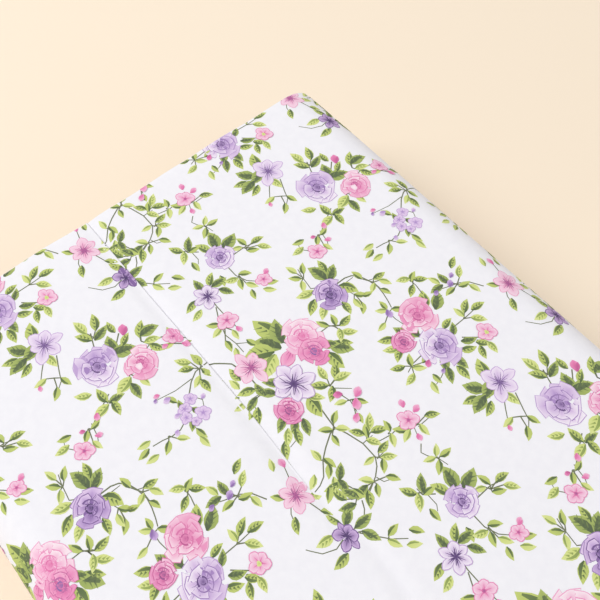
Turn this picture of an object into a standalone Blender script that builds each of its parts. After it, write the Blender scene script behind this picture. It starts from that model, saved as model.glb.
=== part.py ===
"""A flat-fold bolt of printed cotton: one length of cloth, folded in half lengthwise and wound
round a folded corrugated board, with its free end pinned down.

Metres, +Z up. +X runs along the board. The bolt lies on its broad side: the origin is under its
middle, on the surface that it rests on. The lengthwise fold of the cloth is at the -X end and
the two selvedges are at the +X end. The free end of the cloth hangs over the -Y edge.
"""

import math

import bmesh
import bpy
from mathutils import Matrix, Vector

# Clearance between two pieces that touch
GAP = 0.0003

# Board: a corrugated blank folded into a flat tube, closed by a flap at each end
BOARD_LENGTH = 0.584
BOARD_WIDTH = 0.203
BOARD_THICKNESS = 0.0254
LINER = 0.0004
FLUTE_HEIGHT = 0.0018
FLUTE_PAPER = 0.0003
FLUTE_PITCH = 0.0065
GLUE_FLAP_WIDTH = 0.030
TONGUE_LENGTH = 0.007
TONGUE_LIFT = 0.0014
LABEL_LENGTH = 0.110
LABEL_HEIGHT = 0.019
LABEL_PAPER = 0.0002

# Cloth: 45 inches wide between its selvedges, wound double
CLOTH_WIDTH = 1.143
PLY_THICKNESS = 0.000275
TURNS = 30
BORE_CORNER = 0.0006
FREE_EDGE_ANGLE = 150.0
LAP_ANGLE = 155.0

# Pins that hold the free end down
PIN_COUNT = 3
PIN_SPACING = 0.190
PIN_ANGLE = 129.0
PIN_LENGTH = 0.034
PIN_RADIUS = 0.00035
PIN_POINT = 0.0025
PIN_HEAD_RADIUS = 0.0019
PIN_HEAD_BORE_DEPTH = 0.0018
PIN_TO_HOLD = 0.014
HOLD_WIDTH = 0.004
HOLD_WALL = 0.0008

# Facets
CORNER_STEPS = 10
FLUTE_STEPS = 6
PIN_SIDES = 12
HEAD_RINGS = 7

# What follows from those sizes
CALIPER = 2 * LINER + 2 * GAP + FLUTE_HEIGHT
TURN_THICKNESS = 2 * PLY_THICKNESS
INNER_TURNS = (TURNS - 1) * TURN_THICKNESS
WINDING_LENGTH = CLOTH_WIDTH / 2
WINDING_BUILD = GAP + INNER_TURNS + GAP + TURN_THICKNESS
WINDING_WIDTH = BOARD_WIDTH + 2 * WINDING_BUILD
WINDING_THICKNESS = BOARD_THICKNESS + 2 * WINDING_BUILD
EDGE_RADIUS = BORE_CORNER + INNER_TURNS + GAP + TURN_THICKNESS
MIDDLE = WINDING_THICKNESS / 2
BOARD_TOP = MIDDLE + BOARD_THICKNESS / 2
BOARD_BOTTOM = MIDDLE - BOARD_THICKNESS / 2
TUBE_END = BOARD_LENGTH / 2 - CALIPER - GAP
HINGE_Y = -(WINDING_WIDTH / 2 - EDGE_RADIUS)
HOLD_BORE = PIN_RADIUS + GAP
HEAD_STAND_OFF = PIN_HEAD_RADIUS + GAP


def clear_scene():
    for leftover in list(bpy.data.objects):
        bpy.data.objects.remove(leftover, do_unlink=True)


def material(name, colour, roughness, metallic=0.0):
    made = bpy.data.materials.new(name)
    made.use_nodes = True
    shader = made.node_tree.nodes["Principled BSDF"]
    shader.inputs["Base Color"].default_value = (*colour, 1.0)
    shader.inputs["Roughness"].default_value = roughness
    shader.inputs["Metallic"].default_value = metallic
    made.diffuse_color = (*colour, 1.0)
    return made


def new_object(name, mesh_builder, finish):
    """One object from a bmesh, with its faces turned outwards."""
    bmesh.ops.recalc_face_normals(mesh_builder, faces=mesh_builder.faces)
    mesh = bpy.data.meshes.new(name)
    mesh_builder.to_mesh(mesh)
    mesh_builder.free()
    mesh.materials.append(finish)
    made = bpy.data.objects.new(name, mesh)
    bpy.context.collection.objects.link(made)
    return made


def smooth(made, angle=35.0):
    made.data.shade_smooth()
    made.data.set_sharp_from_angle(angle=math.radians(angle))
    return made


def box(name, low, high, finish):
    """A rectangular piece from its lowest to its highest corner."""
    builder = bmesh.new()
    bmesh.ops.create_cube(builder, size=1.0)
    for vert in builder.verts:
        vert.co = [low[i] + (vert.co[i] + 0.5) * (high[i] - low[i]) for i in range(3)]
    return new_object(name, builder, finish)


def extrude_along(name, outline, axis, start, end, finish):
    """A prism. The outline holds (y, z) points for axis X, or (x, z) points for axis Y."""
    builder = bmesh.new()
    across = 1 - axis
    corners = []
    for along_outline, height in outline:
        place = [0.0, 0.0, height]
        place[axis] = start
        place[across] = along_outline
        corners.append(builder.verts.new(place))
    face = builder.faces.new(corners)
    grown = bmesh.ops.extrude_face_region(builder, geom=[face])["geom"]
    shift = [0.0, 0.0, 0.0]
    shift[axis] = end - start
    moved = [piece for piece in grown if isinstance(piece, bmesh.types.BMVert)]
    bmesh.ops.translate(builder, verts=moved, vec=shift)
    return new_object(name, builder, finish)


def turned(name, profile, sides, finish):
    """A turned piece about its own X axis, from (x, radius) points that start and end on the axis."""
    builder = bmesh.new()
    verts = [builder.verts.new((x, 0.0, radius)) for x, radius in profile]
    edges = [builder.edges.new(pair) for pair in zip(verts, verts[1:])]
    bmesh.ops.spin(
        builder, geom=verts + edges, cent=(0, 0, 0), axis=(1, 0, 0),
        angle=2 * math.pi, steps=sides, use_merge=True,
    )
    bmesh.ops.remove_doubles(builder, verts=builder.verts, dist=1e-7)
    return smooth(new_object(name, builder, finish), 50.0)


def boolean(made, cutter, operation):
    """Joins or cuts with a helper that stays out of the model."""
    cutter.hide_render = True
    cutter.display_type = "WIRE"
    change = made.modifiers.new(operation.lower() + "_" + cutter.name, "BOOLEAN")
    change.operation = operation
    change.object = cutter


def arc(centre_y, centre_z, radius, first, last):
    """(y, z) points of an arc, in steps of a fixed share of a quarter turn. Angles in degrees."""
    steps = max(1, round(CORNER_STEPS * abs(last - first) / 90))
    angles = [math.radians(first + (last - first) * i / steps) for i in range(steps + 1)]
    return [(centre_y + radius * math.cos(a), centre_z + radius * math.sin(a)) for a in angles]


def edge_centre():
    """Distances of the four rounding centres from the middle of the cross-section."""
    return WINDING_WIDTH / 2 - EDGE_RADIUS, WINDING_THICKNESS / 2 - EDGE_RADIUS


def winding_outline(inset):
    """The closed cross-section of the winding, this far inside its outer surface."""
    out, up = edge_centre()
    radius = EDGE_RADIUS - inset
    return (
        arc(-out, MIDDLE + up, radius, 90, 180)
        + arc(-out, MIDDLE - up, radius, 180, 270)
        + arc(out, MIDDLE - up, radius, 270, 360)
        + arc(out, MIDDLE + up, radius, 0, 90)
    )


def outer_turn_path(inset):
    """From the lap under the -Y edge, below the bolt, round the +Y edge and back over the top."""
    out, up = edge_centre()
    radius = EDGE_RADIUS - inset
    return (
        arc(-out, MIDDLE - up, radius, 90 + LAP_ANGLE, 270)
        + arc(out, MIDDLE - up, radius, 270, 360)
        + arc(out, MIDDLE + up, radius, 0, 90)
        + [(HINGE_Y + GAP, MIDDLE + up + radius)]
    )


def free_end_path(inset):
    """From the top of the -Y edge, round it and down to the free edge of the cloth."""
    out, up = edge_centre()
    radius = EDGE_RADIUS - inset
    return (
        arc(-out, MIDDLE + up, radius, 90, 180)
        + arc(-out, MIDDLE - up, radius, 180, 90 + FREE_EDGE_ANGLE)
    )


def shell(name, path, thickness, finish):
    """A sheet of the given thickness, bent along a path and as long as the winding."""
    outline = path(0.0) + path(thickness)[::-1]
    half = WINDING_LENGTH / 2
    return smooth(extrude_along(name, outline, 0, -half, half, finish))


def pin_frame(hold_x):
    """Where a pin lies: its point is at the origin and its shaft runs along X.

    The pin slants, so that its point all but touches the cloth and its head rests on it, on the
    lower rounding of the -Y edge. hold_x is where the small fold of cloth holds it.
    """
    out, up = edge_centre()
    angle = math.radians(90 + PIN_ANGLE)
    outward = Vector((0.0, math.cos(angle), math.sin(angle)))
    slant = math.asin((HEAD_STAND_OFF - PIN_RADIUS - GAP) / PIN_LENGTH)
    along = Vector((math.cos(slant), 0.0, 0.0)) + outward * math.sin(slant)
    normal = outward * math.cos(slant) - Vector((math.sin(slant), 0.0, 0.0))
    point = Vector((hold_x, -out, MIDDLE - up)) + outward * (EDGE_RADIUS + PIN_RADIUS + GAP)
    point.x -= PIN_TO_HOLD * math.cos(slant)
    frame = Matrix((along, normal.cross(along), normal)).transposed().to_4x4()
    frame.translation = point
    return frame


def pin_places():
    first = -(PIN_COUNT - 1) / 2
    return [(first + number) * PIN_SPACING for number in range(PIN_COUNT)]


def build_liners_and_flutes(side, panel_top, board):
    """The three papers of one broad panel of the board, from its upper face down."""
    half_width = BOARD_WIDTH / 2
    flute_top = panel_top - LINER - GAP
    lower_liner_top = flute_top - FLUTE_HEIGHT - GAP
    for which, top in (("upper", panel_top), ("lower", lower_liner_top)):
        box(f"board_{side}_{which}_liner", (-TUBE_END, -half_width, top - LINER),
            (TUBE_END, half_width, top), board)
    waves = math.floor((BOARD_WIDTH - FLUTE_PAPER) / FLUTE_PITCH)
    steps = waves * FLUTE_STEPS
    swing = (FLUTE_HEIGHT - FLUTE_PAPER) / 2
    centre = flute_top - FLUTE_HEIGHT / 2
    crest = []
    for step in range(steps + 1):
        phase = 2 * math.pi * step / FLUTE_STEPS
        y = FLUTE_PITCH * waves * (step / steps - 0.5)
        crest.append((y, centre + swing * math.cos(phase)))
    over = [(y, z + FLUTE_PAPER / 2) for y, z in crest]
    under = [(y, z - FLUTE_PAPER / 2) for y, z in reversed(crest)]
    smooth(extrude_along(f"board_{side}_fluting", over + under, 0, -TUBE_END, TUBE_END, board), 60)


def build_board_walls(board):
    """The two narrow walls between the broad panels, and the flap that glues the tube shut."""
    half_width = BOARD_WIDTH / 2
    low = BOARD_BOTTOM + CALIPER + GAP
    high = BOARD_TOP - CALIPER - GAP
    box("board_front_wall", (-TUBE_END, -half_width, low), (TUBE_END, -half_width + CALIPER, high), board)
    box("board_back_wall", (-TUBE_END, half_width - CALIPER, low), (TUBE_END, half_width, high), board)
    inside = half_width - CALIPER - GAP
    box("board_glue_flap", (-TUBE_END, inside - GLUE_FLAP_WIDTH, high - CALIPER),
        (TUBE_END, inside, high), board)


def build_end_flap(name, end, board):
    """A flap that closes one end of the tube (end is 1 or -1), with its tongue tucked inside.

    Its origin is on the crease along the top of the board, where it turns.
    """
    inner = TUBE_END + GAP
    tongue_low = BOARD_BOTTOM + CALIPER + TONGUE_LIFT
    tongue_high = tongue_low + CALIPER
    tip = inner - TONGUE_LENGTH
    outline = [
        (inner, BOARD_TOP),
        (inner + CALIPER, BOARD_TOP),
        (inner + CALIPER, BOARD_BOTTOM),
        (inner, BOARD_BOTTOM),
        (inner, tongue_low),
        (tip + CALIPER / 2, tongue_low),
        (tip, tongue_low + CALIPER / 2),
        (tip, tongue_high),
        (inner, tongue_high),
    ]
    crease = (end * (inner - GAP / 2), BOARD_TOP)
    placed = [(end * x - crease[0], z - crease[1]) for x, z in outline]
    slot = CALIPER + 2 * GAP
    half = BOARD_WIDTH / 2
    flap = extrude_along(name, placed, 1, -half, half, board)
    flap.location = (crease[0], 0.0, crease[1])
    # The tongue is narrower than the tube, so the two ends of its strip are cut away.
    for side in (-1, 1):
        edge = side * (half - slot)
        span = sorted((edge, side * (half + slot)))
        low = (end * (inner - TONGUE_LENGTH - slot) - crease[0], span[0], tongue_low - GAP - crease[1])
        high = (end * inner - crease[0], span[1], tongue_high + GAP - crease[1])
        low, high = [min(a, b) for a, b in zip(low, high)], [max(a, b) for a, b in zip(low, high)]
        cutter = box(f"{name}_notch_{side}", low, high, board)
        cutter.location = flap.location
        boolean(flap, cutter, "DIFFERENCE")
    return flap


def build_label(name, end, paper):
    """A plain paper label on the outer face of an end flap."""
    inner = end * (BOARD_LENGTH / 2 + GAP)
    outer = end * (BOARD_LENGTH / 2 + GAP + LABEL_PAPER)
    box(name, (min(inner, outer), -LABEL_LENGTH / 2, MIDDLE - LABEL_HEIGHT / 2),
        (max(inner, outer), LABEL_LENGTH / 2, MIDDLE + LABEL_HEIGHT / 2), paper)


def build_board():
    board = material("corrugated_board", (0.46, 0.31, 0.18), 0.85)
    paper = material("label_paper", (0.82, 0.80, 0.76), 0.6)
    build_liners_and_flutes("top", BOARD_TOP, board)
    build_liners_and_flutes("bottom", BOARD_BOTTOM + CALIPER, board)
    build_board_walls(board)
    build_end_flap("board_end_flap", 1, board)
    build_end_flap("board_fold_end_flap", -1, board)
    build_label("end_label", 1, paper)
    build_label("fold_end_label", -1, paper)


def build_inner_turns(cotton):
    """All the turns under the outermost one, as one ring round the board."""
    half = WINDING_LENGTH / 2
    outline = winding_outline(TURN_THICKNESS + GAP)
    turns = extrude_along("cloth_inner_turns", outline, 0, -half, half, cotton)
    overrun = CALIPER
    bore = extrude_along("board_bore", winding_outline(WINDING_BUILD - GAP), 0,
                         -half - overrun, half + overrun, cotton)
    boolean(turns, bore, "DIFFERENCE")
    return smooth(turns)


def row_of_rods(name, radius, half_length, finish):
    """One rod round the axis of each pin, where its hold is, all in one helper mesh."""
    builder = bmesh.new()
    for x in pin_places():
        place = pin_frame(x) @ Matrix.Translation((PIN_TO_HOLD, 0, 0)) @ Matrix.Rotation(math.pi / 2, 4, "Y")
        bmesh.ops.create_cone(
            builder, cap_ends=True, segments=PIN_SIDES, radius1=radius, radius2=radius,
            depth=2 * half_length, matrix=place,
        )
    return new_object(name, builder, finish)


def build_free_end(cotton):
    """The last stretch of cloth, with a small fold of it over each pin.

    Its origin is on the line along the top of the -Y edge, about which it lifts.
    """
    flap = shell("cloth_free_end", free_end_path, TURN_THICKNESS, cotton)
    holds = row_of_rods("pin_holds", HOLD_BORE + HOLD_WALL, HOLD_WIDTH / 2, cotton)
    bores = row_of_rods("pin_hold_bores", HOLD_BORE, HOLD_WIDTH, cotton)
    boolean(flap, holds, "UNION")
    boolean(flap, bores, "DIFFERENCE")
    place = Vector((0.0, HINGE_Y, WINDING_THICKNESS))
    flap.data.transform(Matrix.Translation(-place))
    flap.location = place


def build_cloth():
    cotton = material("printed_cotton", (0.86, 0.84, 0.88), 0.9)
    build_inner_turns(cotton)
    shell("cloth_outer_turn", outer_turn_path, TURN_THICKNESS, cotton)
    build_free_end(cotton)


def head_profile():
    """Ball with a blind bore for the shaft in its -X side, from the bore's floor round to the far pole."""
    mouth = math.acos(HOLD_BORE / PIN_HEAD_RADIUS)
    floor = -PIN_HEAD_RADIUS * math.sin(mouth) + PIN_HEAD_BORE_DEPTH
    profile = [(floor, 0.0), (floor, HOLD_BORE)]
    for ring in range(HEAD_RINGS + 1):
        angle = -mouth + (math.pi / 2 + mouth) * ring / HEAD_RINGS
        profile.append((PIN_HEAD_RADIUS * math.sin(angle), PIN_HEAD_RADIUS * math.cos(angle)))
    profile[-1] = (PIN_HEAD_RADIUS, 0.0)
    return profile, floor


def build_pins():
    """Ball-headed pins, each through its hold, with their points towards -X."""
    steel = material("pin_steel", (0.62, 0.62, 0.64), 0.25, 1.0)
    glass = material("pin_head", (0.80, 0.30, 0.42), 0.15)
    profile, bore_floor = head_profile()
    shaft_profile = [(0.0, 0.0), (PIN_POINT, PIN_RADIUS), (PIN_LENGTH, PIN_RADIUS), (PIN_LENGTH, 0.0)]
    head_at = Matrix.Translation((PIN_LENGTH + GAP - bore_floor, 0.0, 0.0))
    for number, x in enumerate(pin_places(), 1):
        shaft = turned(f"pin_shaft_{number}", shaft_profile, PIN_SIDES, steel)
        shaft.matrix_world = pin_frame(x)
        head = turned(f"pin_head_{number}", profile, PIN_SIDES, glass)
        head.matrix_world = pin_frame(x) @ head_at


def main():
    clear_scene()
    build_board()
    build_cloth()
    build_pins()


main()
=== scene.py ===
"""Looks of the fabric bolt: printed cotton folded double and wound on a corrugated board."""
import bisect
import math

import bpy
import numpy as np
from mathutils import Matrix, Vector

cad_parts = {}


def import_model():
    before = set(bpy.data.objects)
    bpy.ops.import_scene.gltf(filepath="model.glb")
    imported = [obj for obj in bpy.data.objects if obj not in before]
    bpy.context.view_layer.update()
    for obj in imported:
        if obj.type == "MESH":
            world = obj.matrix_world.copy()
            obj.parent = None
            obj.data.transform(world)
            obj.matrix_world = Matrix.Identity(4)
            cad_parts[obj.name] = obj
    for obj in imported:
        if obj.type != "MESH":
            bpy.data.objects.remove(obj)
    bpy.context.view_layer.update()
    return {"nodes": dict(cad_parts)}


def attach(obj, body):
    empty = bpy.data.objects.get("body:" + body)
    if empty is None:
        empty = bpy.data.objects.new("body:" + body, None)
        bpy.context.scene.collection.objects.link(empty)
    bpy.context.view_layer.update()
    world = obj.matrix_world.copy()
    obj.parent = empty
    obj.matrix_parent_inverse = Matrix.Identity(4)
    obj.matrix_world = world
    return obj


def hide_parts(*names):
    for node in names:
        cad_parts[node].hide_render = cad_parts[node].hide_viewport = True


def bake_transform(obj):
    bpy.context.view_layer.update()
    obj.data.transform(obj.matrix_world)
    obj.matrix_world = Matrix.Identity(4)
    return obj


# The bolt's section and lengths, in millimetres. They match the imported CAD.
FLAT = 202.4
SIDE = 24.8
RADIUS = 17.4
ARC = RADIUS * math.pi / 2
LOOP = 2 * (FLAT + SIDE) + 4 * ARC
CORNER_Y = FLAT / 2
CORNER_LOW = RADIUS
CORNER_HIGH = CORNER_LOW + SIDE
HALF_LENGTH = 285.75
FULL_WIDTH = 2 * HALF_LENGTH
SECTION = np.cumsum([0, FLAT, ARC, SIDE, ARC, FLAT, ARC, SIDE, ARC])

# The cloth lies double, with a gap between its plies and an arc of FOLD_ARC on each side of the fold.
# The last wound turn is TURN_ROOM inside the outer turn, and the first has a radius of FIRST_RADIUS
# at the board's corners. A pair of threads is in metres.
TURNS = 29
PLY_GAP = 0.46
FOLD_ARC = 0.37
CLOTH_THICK = 0.2
TURN_ROOM = 0.98
FIRST_RADIUS = 1.1
THREAD_PAIR = 0.00042

# The print's lowest layer lies PRINT_LIFT above the cloth, and each next one a little higher.
# Leaves and stems take the layers below FIRST_FLOWER.
PRINT_LIFT = 0.03
LAYER_LIFT = 0.0024
FIRST_FLOWER = 10

# Distances along the cloth, from the line that reads as the bolt's long edge on top.
TOP_START = 12.3
WOUND_END = -287.2
TURN_START = -290.0
TUCK_HIDES = 4.0
SPLIT = 206.0
FREE_EDGE = 285.0
FREE_END_STOP = FREE_EDGE + TUCK_HIDES - 0.1

# The view: the lens in millimetres, and the camera's place and direction in metres.
CAMERA_LENS = 45.18
CAMERA_PLACE = (-0.0745, -0.0683, 0.3396)
CAMERA_DIRECTION = (-0.3691, 0.3130, -0.8751)
FLOOR_COLOUR = (254, 238, 216)

# The print repeats over the cloth by these two steps, along the width and the length.
STEP_DOWN = (10.7, 131.2)
STEP_ACROSS = (142.8, -3.5)


def linear(colour):
    """A colour seen in daylight, 0 to 255, as a linear surface colour."""
    values = [c / 255 for c in colour]
    return [v / 12.92 if v <= 0.04045 else ((v + 0.055) / 1.055) ** 2.4 for v in values]


WHITE = (243, 242, 248)
PINK_DEEP, PINK = (226, 118, 172), (240, 150, 196)
PINK_SOFT, PINK_PALE = (245, 187, 214), (249, 218, 234)
ROSE_DARK, PLUM = (196, 98, 152), (160, 92, 146)
VIOLET_DEEP, VIOLET = (140, 108, 168), (182, 150, 208)
VIOLET_SOFT, VIOLET_PALE = (214, 186, 228), (236, 214, 242)
VIOLET_DARK, INK = (108, 82, 134), (86, 66, 112)
LEAF_DARK, LEAF = (88, 106, 70), (140, 158, 90)
LIME, LIME_PALE = (202, 214, 122), (226, 233, 158)
STEM = (118, 124, 94)


# ---------------------------------------------------------------- the cloth's surface

def around(distance, radius):
    """The section's point (y, z) at a distance along the loop, on a line at this corner radius."""
    t = np.mod(distance - TOP_START, LOOP)
    angle = np.radians(np.interp(t, SECTION, [90, 90, 180, 180, 270, 270, 360, 360, 450]))
    out = CORNER_Y
    y = np.interp(t, SECTION, [out, -out, -out, -out, -out, out, out, out, out])
    high, low = CORNER_HIGH, CORNER_LOW
    z = np.interp(t, SECTION, [high, high, high, low, low, low, low, high, high])
    return y + radius * np.cos(angle), z + radius * np.sin(angle)


def smooth_step(value, low, high):
    """0 up to low, 1 from high, and a soft change between them."""
    t = np.clip((value - low) / (high - low), 0, 1)
    return t * t * (3 - 2 * t)


def swell(q, x, at, size, depth):
    """A soft hollow or swelling of the cloth, turned by an angle."""
    turn = math.radians(at[2])
    a = (q - at[0]) * math.cos(turn) + (x - at[1]) * math.sin(turn)
    b = -(q - at[0]) * math.sin(turn) + (x - at[1]) * math.cos(turn)
    return depth * np.exp(-((a / size[0]) ** 2) - (b / size[1]) ** 2)


# Soft hollows and swellings of the outer turn: (distance, x, angle), the size each way, and the height.
SWELLS = [
    ((130, 148, 0), (4.2, 30), -1.35), ((130.5, 62, 0), (2.8, 72), -1.0), ((127, 190, -7), (3.6, 26), -0.7),
    ((121, 120, -2), (5.0, 90), 0.3), ((150, 232, 62), (30, 3.4), 0.75), ((158, 262, 50), (26, 4.0), 0.65),
    ((70, 330, 12), (4.5, 60), -0.35), ((165, 430, -8), (5.0, 80), -0.45), ((40, 480, 5), (5.5, 50), -0.3),
    ((-160, 180, 6), (6.0, 90), -0.4), ((-130, 400, -5), (5.0, 70), -0.45),
]


def relief(q, x):
    """How far the outer turn stands off its even surface, in millimetres."""
    wave = 0.13 * np.sin(q / 23 + 1.4 * np.sin(x / 61)) * np.sin(x / 47 + 1.3)
    wave += 0.07 * np.sin(q / 9.5 + x / 27) * np.sin(x / 33 - q / 51)
    wave += 0.05 * np.sin(x / 7.5 + 0.8 * np.sin(q / 19)) * np.sin(q / 31)
    for at, size, depth in SWELLS:
        wave += swell(q, x, at, size, depth)
    ends = 0.35 * np.exp(-np.maximum(x, 0) / 3.0) + 0.3 * np.exp(-np.maximum(FULL_WIDTH - x, 0) / 3.0)
    calm = smooth_step(q, SPLIT + 2, SPLIT + 10)
    return wave * (1 - 0.6 * calm) - ends


def pressed(q, x):
    """How far the bolt's weight flattens the cloth underneath, so that it lies clear of the floor."""
    under = smooth_step(q, -285, -265) * (1 - smooth_step(q, -72, -60))
    return -0.5 * under * smooth_step(x, 0, 6) * smooth_step(FULL_WIDTH - x, 0, 6)


# The tuck: where its rows of cloth start, where each comes to lie, and how far each drops.
TUCK_AT = [116.0, 124.0, 127.5, 129.0, 130.5, 130.75, 131.0, 132.4, 132.7, 133.0, 133.2, 133.8]
TUCK_TO = [116.0, 124.0, 127.6, 129.2, 130.7, 130.85, 130.7, 129.35, 129.1, 129.05, 129.25, 129.8]
TUCK_DOWN = [0.0, -0.25, -0.62, -0.7, -0.68, -0.55, -0.42, -0.4, -0.3, -0.08, 0.06, 0.12]


def tucked(p, x):
    """Where the cloth's own distance p comes to lie: the distance on the bolt, and how far it drops."""
    full = 1 - smooth_step(x, 112, 205)
    closed = np.interp(p, TUCK_AT, TUCK_TO)
    closed = np.where(p < TUCK_AT[0], p, np.where(p > TUCK_AT[-1], p - TUCK_HIDES, closed))
    drop = np.interp(p, TUCK_AT, TUCK_DOWN) * (1 - smooth_step(p, TUCK_AT[-1], TUCK_AT[-1] + 3))
    return p + (closed - p) * full, drop * (1 - smooth_step(x, 96, 165))


def lap_drop(p):
    """The start of the outer turn rises from under the free end."""
    return -0.95 * (1 - smooth_step(p, -279.0, -274.5))


# Where each pin passes under a small fold of the free end: along the cloth, and from the folded end.
HOLD_ROW = 278.6
FIRST_HOLD = HALF_LENGTH - 189.985
HOLD_SPACING = 190
HOLDS = [(HOLD_ROW, FIRST_HOLD + HOLD_SPACING * i) for i in range(3)]


def hold_rise(q, x):
    """How far the cloth rises over the pins."""
    rise = 0
    for along, across in HOLDS:
        body = np.exp(-(((q - along) / 1.5) ** 2)) + 0.12 * np.exp(-(((q - along) / 4.5) ** 2))
        run = smooth_step(x, across - 2.9, across - 1.7) * (1 - smooth_step(x, across + 1.7, across + 2.9))
        pull = 0.14 * np.exp(-(((q - along) / 3.5) ** 2) - ((x - across) / 9) ** 2)
        rise = rise + 1.95 * body * run + pull
    return rise


def nose(u):
    """Where the doubled cloth lies across the bolt: its x from the folded end, and its depth.
    u runs from the outer selvedge, past the fold at zero, to the inner selvedge."""
    half = PLY_GAP / 2
    bend = half * math.pi / 2
    phi = np.clip(-u / bend, -1, 1) * math.pi / 2
    inside = np.abs(u) < bend
    x = np.where(inside, half - half * np.cos(phi), np.abs(u) - bend + half)
    depth = np.where(u >= bend, 0, np.where(u <= -bend, -PLY_GAP, -half - half * np.sin(phi)))
    return x, depth


def outer_cloth(p, u, lift=0.0):
    """The outer turn and free end: metres, from distance p along the cloth and u across it."""
    x, depth = nose(u)
    q, drop = tucked(p, x)
    inner = depth / -PLY_GAP
    middle = smooth_step(x, 2, 14) * smooth_step(FULL_WIDTH - x, 2, 14)
    stand = relief(q, x) + pressed(q, x) + drop * (1 - 0.35 * inner) + hold_rise(q, x) * (1 - inner)
    stand = stand - 0.35 * inner * middle + lap_drop(p)
    y, z = around(q, RADIUS + stand + depth + lift)
    ripple = 0.25 * np.sin(q / 14.0) + 0.18 * np.sin(q / 5.3 + 1)
    end = -HALF_LENGTH + x + ripple * (1 - 2 * smooth_step(x, 100, 470)) * (1 - middle)
    return np.stack([end, y, z], axis=-1) / 1000


def inner_cloth(n, u, lift=0.0):
    """The wound turns: n counts turns from the board outwards."""
    x, depth = nose(u)
    q = WOUND_END + (n - TURNS) * LOOP
    share = n / TURNS
    radius = FIRST_RADIUS + (RADIUS - TURN_ROOM - FIRST_RADIUS) * share
    middle = smooth_step(x, 3, 20) * smooth_step(FULL_WIDTH - x, 3, 20)
    turn_q = np.mod(q - TOP_START, LOOP) + TOP_START - LOOP
    stand = np.maximum(relief(turn_q, x) * share**2, -0.25) - 1.5 * share * middle
    stand = stand + pressed(turn_q, x) * share**2
    stand = stand + 0.10 * np.sin(q / 8.1 + n * 2.3) * (1 - middle)
    y, z = around(q, np.maximum(radius + stand + depth, 0.35) + lift)
    turn_shift = 0.45 * np.sin(n * 2.9) + 0.3 * np.sin(n * 7.7 + 1) + 0.2 * np.sin(q / 37.0)
    shift = (turn_shift + 0.45) * (1 - middle) * (1 - 2 * smooth_step(x, 100, 470))
    return np.stack([-HALF_LENGTH + x + shift, y, z], axis=-1) / 1000


def slack(v, x):
    """How far a row of the mesh beyond the tuck is ahead of the cloth, where the tuck takes up less of it."""
    open_part = smooth_step(x, 112, 205)
    return TUCK_HIDES * open_part * smooth_step(v, 146, 158)


def rows_of_cloth(p, x):
    """The mesh row at which a point of the cloth lies."""
    v = p
    for _ in range(5):
        v = p + slack(v, x)
    return v


def outer_at_row(v, u, lift=0.0):
    """The outer turn and free end by mesh row, so that the cloth ends in straight lines on the bolt."""
    x, _ = nose(u)
    return outer_cloth(v - slack(v, x), u, lift)


def spaced(*parts):
    """One rising list of values from (start, stop, largest step) parts."""
    found = [np.linspace(a, b, max(2, int(math.ceil((b - a) / step)) + 1)) for a, b, step in parts]
    return np.unique(np.round(np.concatenate(found), 4))


def side_columns(bend, rim, middle, end):
    """x values from the fold to the selvedge, with the largest step allowed in each zone."""
    return spaced((0, FOLD_ARC, 0.12), (FOLD_ARC, 3, bend), (3, 20, rim), (20, FULL_WIDTH - 20, middle),
                  (FULL_WIDTH - 20, FULL_WIDTH - 3, rim), (FULL_WIDTH - 3, FULL_WIDTH, end))


def linked(name, data):
    """A new object of the scene."""
    obj = bpy.data.objects.new(name, data)
    bpy.context.scene.collection.objects.link(obj)
    return obj


def map_cloth(mesh, places):
    """Gives a mesh its places on the flat cloth as a UV map, in metres."""
    loops = np.empty(len(mesh.loops), dtype=np.int64)
    mesh.loops.foreach_get("vertex_index", loops)
    values = (places[loops] / 1000).reshape(-1).astype(np.float32)
    mesh.uv_layers.new(name="cloth").data.foreach_set("uv", values)


def grid_object(name, rows, columns, place):
    """A sheet of cloth as a grid, with its thickness, and open edges that stay sharp."""
    a, b = np.meshgrid(rows, columns, indexing="ij")
    points = place(a, b).reshape(-1, 3)
    height, width = a.shape
    index = np.arange(height * width).reshape(height, width)
    quads = np.stack([index[:-1, :-1], index[1:, :-1], index[1:, 1:], index[:-1, 1:]], axis=-1)
    mesh = bpy.data.meshes.new(name)
    mesh.from_pydata(points.tolist(), [], quads.reshape(-1, 4).tolist())
    map_cloth(mesh, np.stack([b.reshape(-1), a.reshape(-1)], axis=-1))
    mesh.polygons.foreach_set("use_smooth", [True] * len(mesh.polygons))
    obj = linked(name, mesh)
    sides = np.empty(len(mesh.loops), dtype=np.int64)
    mesh.loops.foreach_get("edge_index", sides)
    uses = np.bincount(sides, minlength=len(mesh.edges))
    mesh.attributes.new("sharp_edge", "BOOLEAN", "EDGE").data.foreach_set("value", uses == 1)
    solid = obj.modifiers.new("thickness", "SOLIDIFY")
    solid.thickness = CLOTH_THICK / 1000
    solid.offset = -1
    return obj


# ---------------------------------------------------------------- the printed flowers

def half_widths(line, widths):
    """The step from each point of a line to the edge of a strip that is this wide there."""
    steps = []
    for i, width in enumerate(widths):
        before, after = line[max(i - 1, 0)], line[min(i + 1, len(line) - 1)]
        dx, dy = after[0] - before[0], after[1] - before[1]
        size = math.hypot(dx, dy) or 1
        steps.append((-dy / size * width / 2, dx / size * width / 2))
    return steps


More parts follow.
